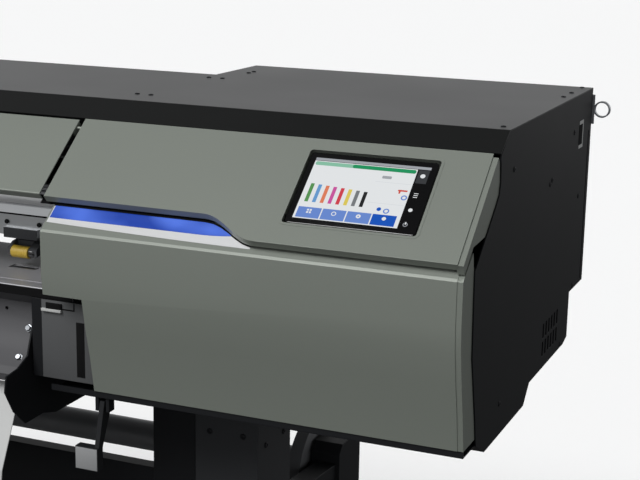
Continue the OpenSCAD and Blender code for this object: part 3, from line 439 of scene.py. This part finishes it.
# %% Lit colours
def lit(name, tone, power=0.85):
    """A lit mark behind glass: it glows with its own colour and keeps the gloss of the glass."""
    made = bpy.data.materials.new(name)
    made.use_nodes = True
    tree = made.node_tree
    tree.nodes.clear()
    place = add(tree, "ShaderNodeTexCoord")
    dots = add(tree, "ShaderNodeTexNoise", {"Scale": 1 / (0.6 * MM), "Detail": 1.0},
               {"Vector": place.outputs["Object"]})
    deep, full = ([c * f for c in shade(tone)[:3]] + [1.0] for f in (0.96, 1.0))
    glow = add(tree, "ShaderNodeMixRGB", {"Color1": deep, "Color2": full}, {"Fac": dots.outputs["Fac"]})
    surface = add(tree, "ShaderNodeBsdfPrincipled", {"Base Color": shade("#050505"), "Roughness": 0.15,
                  "Emission Strength": power}, {"Emission Color": glow.outputs["Color"]})
    add(tree, "ShaderNodeOutputMaterial", links={"Surface": surface.outputs["BSDF"]})
    return made


WHITE, GREY, PALE = lit("lit_white", "#f2f5f7"), lit("lit_grey", "#a9adb3"), lit("lit_pale", "#dfe3e8")
GREEN, MINT = lit("lit_green", "#1f9a62"), lit("lit_mint", "#8fcaae")
SKY, NAVY = lit("lit_sky_blue", "#6f92dc"), lit("lit_navy", "#1458c4")
RED, TILE = lit("lit_red", "#d9503f"), lit("lit_tile", "#3b3d40")
INKS = [lit("lit_ink_" + name, tone) for name, tone in (
    ("green", "#5b9b58"), ("cyan", "#6da4dc"), ("orange", "#ec8560"), ("magenta", "#d65aa8"),
    ("red", "#dd4451"), ("yellow", "#ead45f"), ("grey", "#7e8286"), ("black", "#222426"))]
print("lit colours ready")

# %% Picture on the screen
LIT_W, LIT_H = 170.0, 109.0
LAYER, FILM = 0.06, 0.005


def mark(x0, y0, x1, y1, look, layer=1, corner=0.0):
    """A mark over parts of the picture, 0 to 1 from its top left corner."""
    box = (LIT_W * (x0 - 0.5), LIT_H * (0.5 - y1), LIT_W * (x1 - 0.5), LIT_H * (0.5 - y0))
    return slab("mark", box, LAYER * layer, look, SCREEN, corner=corner, base=FILM)


def dot(x, y, radius, look, layer=2, hole=0.0):
    """A round mark, with its radius in mm."""
    return disc("mark", LIT_W * (x - 0.5), LIT_H * (0.5 - y), radius, LAYER * layer, look, SCREEN, base=FILM,
                hole=hole)


marks = [mark(0, 0.05, 0.892, 1, WHITE), mark(0, 0, 1, 0.042, GREY),
         mark(0.01, 0.062, 0.36, 0.122, MINT, 2, 2.5),
         mark(0.34, 0.062, 0.885, 0.122, GREEN, 3, 2.5), mark(0.905, 0.055, 0.995, 0.27, TILE),
         mark(0.575, 0.30, 0.88, 0.305, PALE, 2), mark(0.575, 0.64, 0.88, 0.645, PALE, 2)]
INK_STEP, KEY_STEP = 0.0674, 0.2125
marks += [mark(0.045 + INK_STEP * i, 0.43 + 0.008 * i, 0.076 + INK_STEP * i, 0.73, ink, 2)
          for i, ink in enumerate(INKS)]
marks += [mark(0.02 + KEY_STEP * i, 0.815, 0.222 + KEY_STEP * i, 0.985, NAVY if i == 3 else SKY, 2, 0.6)
          for i in range(4)]
marks += [mark(0.1 + dx, 0.845 + dy, 0.117 + dx, 0.872 + dy, WHITE, 3)
          for dx in (0, 0.024) for dy in (0, 0.038)]
marks += [dot(0.335, 0.88, 3.6, WHITE, 3, 2.4), dot(0.545, 0.88, 3.4, WHITE, 3, 1.2),
          dot(0.76, 0.875, 3.0, WHITE, 3),
          dot(0.86, 0.52, 4.4, SKY, 2, 2.5), dot(0.755, 0.755, 4.4, SKY, 2, 2.5), dot(0.69, 0.735, 3.2, NAVY),
          mark(0.79, 0.40, 0.87, 0.425, RED, 2, 1.0), mark(0.80, 0.41, 0.815, 0.46, RED, 2),
          mark(0.62, 0.20, 0.70, 0.245, GREY, 2, 1.2), dot(0.95, 0.15, 3.6, WHITE, 2),
          mark(0.93, 0.43, 0.965, 0.44, WHITE), mark(0.93, 0.46, 0.965, 0.47, WHITE),
          mark(0.93, 0.49, 0.965, 0.50, WHITE), dot(0.947, 0.70, 3.0, WHITE, 1),
          dot(0.947, 0.93, 3.4, GREY, 1, 2.4), mark(0.943, 0.89, 0.951, 0.93, WHITE, 2)]
picture = joined("screen_picture", marks, BODY["touch_panel"])
print("marks on the screen", len(marks), "in", len(picture.data.polygons), "faces")

# %% [markdown]
# ## Lathe work
# Rollers, hubs and screw heads are turned parts. Each starts as a disc and is drawn out step by step: every
# step extrudes the end face and scales it to the next radius, which is what a lathe profile says.

# %% Turned piece
def turned(name, profile, look, frame_at, sides=32):
    """A solid turned about z, from (height, radius) steps in mm."""
    bpy.ops.object.select_all(action="DESELECT")
    start, radius = profile[0]
    bpy.ops.mesh.primitive_circle_add(vertices=sides, radius=radius * MM, fill_type="NGON",
                                      location=(0, 0, start * MM))
    piece = bpy.context.object
    bpy.ops.object.mode_set(mode="EDIT")
    for height, wide in profile[1:]:
        bpy.ops.mesh.extrude_region_move(TRANSFORM_OT_translate={"value": (0, 0, (height - start) * MM)})
        bpy.ops.transform.resize(value=(wide / radius, wide / radius, 1), center_override=(0, 0, height * MM))
        start, radius = height, wide
    bpy.ops.mesh.select_all(action="SELECT")
    bpy.ops.mesh.normals_make_consistent(inside=False)
    bpy.ops.object.mode_set(mode="OBJECT")
    return settle(piece, name, frame_at, look)


def copied(master, name, places):
    """Copies of a master piece at those frames, each with its own mesh; the master is removed."""
    made = []
    for place in places:
        twin = bpy.data.objects.new(name, master.data.copy())
        bpy.context.scene.collection.objects.link(twin)
        twin.data.transform(place)
        made.append(twin)
    bpy.data.objects.remove(master)
    return made


def islands(part):
    """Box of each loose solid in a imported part, as (low, high)."""
    mesh = bmesh.new()
    mesh.from_mesh(frame["nodes"][part].data)
    bmesh.ops.remove_doubles(mesh, verts=mesh.verts, dist=0.01 * MM)
    left, boxes = set(mesh.verts), []
    while left:
        found, edge = set(), [left.pop()]
        while edge:
            vert = edge.pop()
            found.add(vert)
            for link in vert.link_edges:
                other = link.other_vert(vert)
                if other in left:
                    left.remove(other)
                    edge.append(other)
        boxes.append([Vector([pick(v.co[i] for v in found) for i in range(3)]) for pick in (min, max)])
    mesh.free()
    return boxes


def facing(axis):
    """A turn that points z along X, -X, -Y or Z."""
    return {"X": Matrix.Rotation(math.pi / 2, 4, "Y"), "-X": Matrix.Rotation(-math.pi / 2, 4, "Y"),
            "-Y": Matrix.Rotation(math.pi / 2, 4, "X"), "Z": Matrix.Identity(4)}[axis]


print("lathe helpers ready")

# %% [markdown]
# ## Screws
# The sheets are held by small black pan heads with a hexagon socket. The head is turned from a disc with
# a rounded shoulder, then six sides are sunk into it. One head is made and copied to every packed screw.

# %% Screw heads
def socket_head(name, radius, tall, look):
    """A pan head with a hexagon socket, standing on z = 0."""
    profile = [(0, radius), (tall * 0.55, radius), (tall * 0.9, radius * 0.86), (tall, radius * 0.7)]
    piece = turned(name, profile, look, Matrix.Identity(4), sides=24)
    bore = radius * 0.42
    sink = turned("socket", [(tall * 0.35, bore), (tall + 1, bore)], look, Matrix.Identity(4), sides=6)
    cut = piece.modifiers.new("socket", "BOOLEAN")
    cut.operation, cut.object = "DIFFERENCE", sink
    only(piece)
    bpy.ops.object.modifier_apply(modifier="socket")
    bpy.data.objects.remove(sink)
    return piece


seats = []
for low, high in islands("cover_screws"):
    size, mid = high - low, (low + high) / 2
    if size.z < size.x:
        seats.append(Matrix.Translation((mid.x, mid.y, low.z)) @ facing("Z"))
    elif mid.x > 0:
        seats.append(Matrix.Translation((low.x, mid.y, mid.z)) @ facing("X"))
    else:
        seats.append(Matrix.Translation((high.x, mid.y, mid.z)) @ facing("-X"))
head = socket_head("head", 4.0, 1.4, FINISH["black_plastic"])
heads = joined("cover_screw_heads", copied(head, "head", seats), BODY["cover_screws"])
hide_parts("cover_screws")
print(len(seats), "screw heads")

# %% [markdown]
# ## Dark gaps
# Behind the gaps beside and below the front cover sit thin black sheets: painted shade, which keeps the
# housing dark where light would shine through. Each is a thin black sheet along the cover's underside, just
# behind the gap.

# %% Black sheets of painted shade behind the gaps
# One matt black, for real black parts and for the black sheets that are painted shade.
BLACK = finish("matt_black_parts_and_painted_shade", "#0a0a0b", 0.85, grain=1.5, depth=0.1, **DULL)
# A point on the outer face of the front cover, in metres.
SLOPE_Y, SLOPE_Z = -0.2095, 1.4936
PANEL = tilted(SLOPE_Y, SLOPE_Z)
RIGHT_X, LEFT_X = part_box("right_upper_cover")[0].x / MM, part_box("left_upper_cover")[1].x / MM
SIDE_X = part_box("right_side_plate")[1].x / MM
FRONT_Y, TOP_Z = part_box("right_lower_cover")[0].y / MM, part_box("top_cover")[1].z / MM
shade_sheets = []
for x in (RIGHT_X - 12, LEFT_X - 4):
    shade_sheets += [slab("shade_sheet", (x, -30, x + 16, -4), 1, BLACK, PANEL, base=-24),
              slab("shade_sheet", (x, -156, x + 16, -32), 1, BLACK, PANEL, base=-17)]
print("front", round(FRONT_Y), "top", round(TOP_Z), "right housing from", round(RIGHT_X))

# %% Painted shade over the ledge and on the beam
LEDGE_Y, LEDGE_Z = FRONT_Y + 39, TOP_Z - 139
UPRIGHT = Matrix.Rotation(math.pi / 2, 4, "X")
# Black sheets behind the ledge, under the panel's lip, are painted shade.
for x0, x1 in ((RIGHT_X + 1, SIDE_X - 40), (40 - SIDE_X, LEFT_X - 1)):
    shade_sheets.append(slab("shade_sheet", (x0, LEDGE_Z - 1, x1, LEDGE_Z + 22), 1, BLACK,
                      Matrix.Translation((0, (LEDGE_Y + 3) * MM, 0)) @ UPRIGHT))
BEAM_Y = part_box("rail_beam")[0].y / MM + 5
# A black sheet on the beam's face, under the front cover's lip, is painted shade.
shade_sheets.append(slab("shade_sheet", (LEFT_X + 2, TOP_Z - 149, RIGHT_X - 2, TOP_Z - 84), 0.8, BLACK,
                  Matrix.Translation((0, (BEAM_Y + 0.1) * MM, 0)) @ UPRIGHT))
joined("painted_shade_sheets", shade_sheets, "machine")
print(len(shade_sheets), "shade_sheets")

# %% [markdown]
# ## Accent strip
# A strip of silver film lies on the ledge, with a domed blue lens on it. The strip follows the panel above:
# the lens narrows to a point where the panel's edge falls in an S, and the silver ends in a longer tip.

# %% Strip shapes
LEDGE_ANGLE = math.atan2(29.5, 36)
LEDGE = tilted(LEDGE_Y * MM, LEDGE_Z * MM, LEDGE_ANGLE)


def outline_slab(name, points, thick, look, frame_at, base):
    """A flat piece with that outline in mm: a disc of as many corners, moved to the points and drawn up."""
    bpy.ops.object.select_all(action="DESELECT")
    bpy.ops.mesh.primitive_circle_add(vertices=len(points), radius=MM, fill_type="NGON")
    piece = bpy.context.object
    for vert, (x, y) in zip(piece.data.vertices, points):
        vert.co = (x * MM, y * MM, base * MM)
    bpy.ops.object.mode_set(mode="EDIT")
    bpy.ops.mesh.select_all(action="SELECT")
    draw_up(thick)
    bpy.ops.object.mode_set(mode="OBJECT")
    return settle(piece, name, frame_at, look)


FALL_START, FALL_LENGTH, FALL_DEPTH = RIGHT_X + 261, 89, 34
LENS_LOW, POINT_START, POINT_LENGTH = -24.5, RIGHT_X + 262, 48
COUNT = 24


def s_fall(x):
    """How far the panel's edge has fallen at x, in mm."""
    part = min(max((x - FALL_START) / FALL_LENGTH, 0), 1)
    return FALL_DEPTH / 2 * (1 - math.cos(math.pi * part))


def lens_low(x):
    """Lower edge of the lens at x, which rises a little towards the point."""
    return LENS_LOW + (max(x - POINT_START, 0) / POINT_LENGTH) ** 2 * 4


START = RIGHT_X + 13
STEPS = [START + (RIGHT_X + 342 - START) * i / COUNT for i in range(COUNT + 1)]
silver = [(x, -33 - 6 * math.sin(math.pi / 2 * i / COUNT)) for i, x in enumerate(STEPS)]
silver += [(x, -3 - s_fall(x)) for x in reversed(STEPS)]
lens_x = [START + 2 + (RIGHT_X + 310 - START) * i / COUNT for i in range(COUNT + 1)]
low_edge = [(x, lens_low(x)) for x in lens_x]
high_edge = [(x, max(-1 - s_fall(x), lens_low(x) + 0.2)) for x in reversed(lens_x)]
print("strip", round(STEPS[-1] - START), "mm long, lens", round(lens_x[-1] - lens_x[0]), "mm")

# %% Silver film and lens
SILVER = finish("satin_silver_film", "#d9dadb", 0.30, 0.35, grain=0.5, depth=0.0, stretch=(0.05, 1, 1))
base_strip = outline_slab("accent_base", silver, 0.5, SILVER, LEDGE, base=0.05)
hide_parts("accent_strip")
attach(base_strip, BODY["accent_strip"])


def lens_finish(name):
    """Blue print under a clear dome: soft lighter clouds over a deeper blue, and a hard gloss."""
    made = bpy.data.materials.new(name)
    made.use_nodes = True
    tree = made.node_tree
    tree.nodes.clear()
    place = add(tree, "ShaderNodeTexCoord")
    long, short = 1 / (95 * MM), 1 / (60 * MM)
    fit = add(tree, "ShaderNodeMapping", {"Scale": (long, short, short), "Location": (0.3, 0, 0)},
              {"Vector": place.outputs["Object"]})
    cloud = add(tree, "ShaderNodeTexNoise", {"Scale": 1.0, "Detail": 1.5}, {"Vector": fit.outputs["Vector"]})
    ramp = add(tree, "ShaderNodeMapRange", {"From Min": 0.42, "From Max": 0.66},
               {"Value": cloud.outputs["Fac"]})
    colour = add(tree, "ShaderNodeMixRGB", {"Color1": shade("#1f3f9c"), "Color2": shade("#4c6ed2")},
                 {"Fac": ramp.outputs["Result"]})
    surface = add(tree, "ShaderNodeBsdfPrincipled",
                  {"Roughness": 0.22, "Coat Weight": 0.5, "Coat Roughness": 0.08},
                  {"Base Color": colour.outputs["Color"]})
    add(tree, "ShaderNodeOutputMaterial", links={"Surface": surface.outputs["BSDF"]})
    return made


FINISH["blue_strip"] = lens_finish("domed_blue_lens")
lens = outline_slab("accent_lens", low_edge + high_edge, 0.9, FINISH["blue_strip"], LEDGE, base=0.5)
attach(lens, BODY["accent_strip"])
# A black strip along the panel's lower edge, above the lens, is painted shadow under the lip.
lip_shadow_outline = [(x, 0.5 - s_fall(x)) for x in STEPS] + [(x, -2.6 - s_fall(x)) for x in reversed(STEPS)]
line = outline_slab("painted_lip_shadow", lip_shadow_outline, 1.2, BLACK, LEDGE, base=0.5)
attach(line, "machine")
print("lens faces", len(lens.data.polygons))

# %% [markdown]
# ## Under the front cover
# The rail beam shows a bright silver band, a groove drawn as a black strip of painted shade, and pairs of
# bolts. Below it the pinch rollers stand over the platen: ground yellow polyurethane with fine grooves, and a
# black hub beside each.

# %% Beam band, painted groove shade and bolts
BEAM_FACE = Matrix.Translation((0, BEAM_Y * MM, 0)) @ UPRIGHT
BAND_LEFT, BAND_RIGHT = LEFT_X + 20, RIGHT_X + 34
bright = slab("beam_bright_band", (BAND_LEFT, TOP_Z - 161, BAND_RIGHT, TOP_Z - 149.5), 0.6, SILVER, BEAM_FACE, rim=0.3)
# The groove is only a flat black strip: painted shade.
groove = slab("beam_groove_shade", (BAND_LEFT, TOP_Z - 180, BAND_RIGHT, TOP_Z - 177.5), 0.3, BLACK, BEAM_FACE)
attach(bright, "machine")
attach(groove, "machine")
ROLLERS = sorted(((low + high) / 2 for low, high in islands("pinch_rollers")), key=lambda v: v.x)
clamps = []
for mid in ROLLERS:
    x = mid.x / MM
    clamps.append(slab("clamp", (x - 15, TOP_Z - 216, x + 46, TOP_Z - 200), 0.7, FINISH["dark_steel"],
                       Matrix.Translation((0, (BEAM_Y - 5) * MM, 0)) @ UPRIGHT, rim=0.3))
joined("clamp_plates", clamps, "machine")
bolt_seats = [Matrix.Translation((mid.x + dx * MM, BEAM_Y * MM, (TOP_Z - 192) * MM)) @ facing("-Y")
              for mid in ROLLERS for dx in (-12, 47)]
bolt = socket_head("bolt", 3.6, 2.2, FINISH["black_plastic"])
joined("beam_bolts", copied(bolt, "bolt", bolt_seats), "machine")
print(len(bolt_seats), "bolts on the beam")

# %% Grooved rollers and hubs
low, high = islands("pinch_rollers")[0]
R, HALF = (high.z - low.z) / 2 / MM, (high.x - low.x) / 2 / MM
CHAMFER, GROOVE, GROOVES = 0.8, 0.4, 9
steps = [(-HALF, R - CHAMFER), (-HALF + CHAMFER, R)]
for i in range(GROOVES):
    z = -HALF + 2.4 + i * (2 * HALF - 5.6) / (GROOVES - 1)
    steps += [(z, R), (z + 0.15, R - GROOVE), (z + 0.65, R - GROOVE), (z + 0.8, R)]
steps += [(HALF - CHAMFER, R), (HALF, R - CHAMFER)]
places = [Matrix.Translation(mid) @ facing("X") for mid in ROLLERS]
roller = turned("roller", steps, FINISH["gold_roller"], Matrix.Identity(4), 40)
rollers = joined("grooved_rollers", copied(roller, "roller", places), BODY["pinch_rollers"])
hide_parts("pinch_rollers")
HUB = ((1.2, 6.4), (2, 8), (10, 8), (12, 6.6), (12.6, 4), (14, 3.6), (14.6, 2.6))
hub = turned("hub", [(HALF + out, radius) for out, radius in HUB], FINISH["screen_glass"],
             Matrix.Identity(4), 28)
joined("pinch_hubs", copied(hub, "hub", places), BODY["pinch_arms"])
print("roller", round(2 * R, 1), "mm across,", round(2 * HALF, 1), "mm long")

# %% Platen
rounded("platen", fold=1.2, rim=0)
PLATEN_Z, PLATEN_Y = TOP_Z - 270, FRONT_Y + 41
low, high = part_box("platen")
skirt = slab("platen_skirt", (low.x / MM, PLATEN_Z - 15, high.x / MM, PLATEN_Z - 1.8), 0.5, BLACK,
             Matrix.Translation((0, PLATEN_Y * MM, 0)) @ UPRIGHT)
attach(skirt, "machine")
print("platen front at", round(PLATEN_Y))

# %% [markdown]
# ## Recess beside the platen
# Below each end of the platen lies a recess beside the housing. Its dark plate carries a media clamp with a
# light bar, a pressed angle and an upright slot, whose black strip is painted shade. Two zinc hexagon screws
# hold the apron at each end.

# %% Clamp parts in the recess
RECESS = Matrix.Translation((0, (FRONT_Y + 36.5) * MM, 0)) @ UPRIGHT
PLATE_GREY = finish("grey_recess_plate", "#4a4b4c", 0.5, grain=1.2, depth=0.02, **DULL)
bits = []


def across(side, x0, x1):
    """Left and right ends of a span measured inwards from a housing's inner edge, on the side asked for."""
    return sorted((RIGHT_X + x0, RIGHT_X + x1) if side > 0 else (LEFT_X - x0, LEFT_X - x1))


for side in (1, -1):
    for x0, drop0, x1, drop1, thick, look in (
            (-15, 285.5, 93, 407, 0.5, PLATE_GREY), (-13, 298, 21, 302, 5, FINISH["light_steel"]),
            (-6, 289, 21, 298, 3, BLACK), (20, 296, 43, 298, 0.9, BLACK), (41, 286, 43, 298, 0.9, BLACK),
            # This black strip is painted shade in the upright slot.
            (45, 314, 59, 399.4, 0.9, BLACK)):
        left, right = across(side, x0, x1)
        bits.append(slab("bit", (left, TOP_Z - drop1, right, TOP_Z - drop0), thick, look, RECESS, rim=0.2))
joined("recess_clamps_and_slot_shade", bits, "machine")
print(len(bits), "recess parts")

# %% Hexagon screws
HEX = [(0, 6.2), (1.0, 6.2), (1.2, 4.8), (4.2, 4.8), (5.0, 4.0)]
hexagon = turned("hex", HEX, FINISH["zinc_plate"], Matrix.Identity(4), 6)
seats = []
for x in (RIGHT_X - 57, LEFT_X + 57):
    for y, z, turn in ((FRONT_Y + 63.5, TOP_Z - 344, 69), (FRONT_Y + 35, TOP_Z - 383, 50)):
        lean = Matrix.Rotation(math.radians(turn), 4, "X")
        seats.append(Matrix.Translation((x * MM, y * MM, z * MM)) @ lean)
joined("apron_screws", copied(hexagon, "hex", seats), "machine")
print(len(seats), "hexagon screws")

# %% Lever pad and leg screws
low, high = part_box("load_lever")
pad = slab("lever_pad", (low.x / MM + 1, low.z / MM + 1, low.x / MM + 38, low.z / MM + 35), 0.5,
           finish("grey_lever_pad", "#7d7e7f", 0.5, grain=1.0, depth=0.02),
           Matrix.Translation((0, low.y, 0)) @ UPRIGHT, rim=0.2)
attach(pad, BODY["load_lever"])
low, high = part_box("stand_leg_right")
LEG_W, LEG_TOP, LEG_Y, seats = high.x - low.x, 1070, FRONT_Y + 249, []
for outer, out in ((high.x, 1), (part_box("stand_leg_left")[1].x - LEG_W, -1)):
    axis = "X" if out > 0 else "-X"
    seats += [Matrix.Translation((outer, (LEG_Y + dy) * MM, (LEG_TOP - drop) * MM)) @ facing(axis)
              for dy in (30, 99) for drop in (60, 110)]
    seats += [Matrix.Translation((outer - out * LEG_W / 2 + dx * MM, LEG_Y * MM, (LEG_TOP - 90) * MM))
              @ facing("-Y") for dx in (-30, 30)]
bolt = socket_head("bolt", 5, 2.5, FINISH["black_plastic"])
joined("leg_screws", copied(bolt, "bolt", seats), "machine")
print(len(seats), "leg screws")

# %% Side plate details
SIDE = Matrix.Translation((SIDE_X * MM, 0, 0)) @ Matrix.Rotation(math.pi / 2, 4, "Z") @ UPRIGHT
REAR_Y = FRONT_Y + 715
trim = [slab("trim", (REAR_Y - 90, TOP_Z - 92, REAR_Y - 62, TOP_Z - 46), 0.4, FINISH["light_steel"], SIDE),
        slab("trim", (REAR_Y - 91, TOP_Z - 86, REAR_Y - 68, TOP_Z - 52), 0.6, BLACK, SIDE),
        slab("trim", (REAR_Y - 20, TOP_Z - 330, REAR_Y - 16, TOP_Z - 70), 0.4, BLACK, SIDE)]
joined("side_plate_trim", trim, "machine")
print("side plate at", round(SIDE_X))

# %% [markdown]
# ## Floor
# One large pale plane. It throws no light back up, as a studio would hang black cloth under the machine
# to keep the lower covers deep in tone.

# %% Floor
bpy.ops.mesh.primitive_plane_add(size=160, location=(0, 0, 0))
floor = bpy.context.object
floor.name = "studio_floor"
floor.data.materials.append(finish("pale_floor", "#fafafa", 0.9, grain=40, depth=0.0, spread=0.005,
                                   gloss_spread=0.0))
floor.visible_diffuse = floor.visible_glossy = False
print("floor placed")
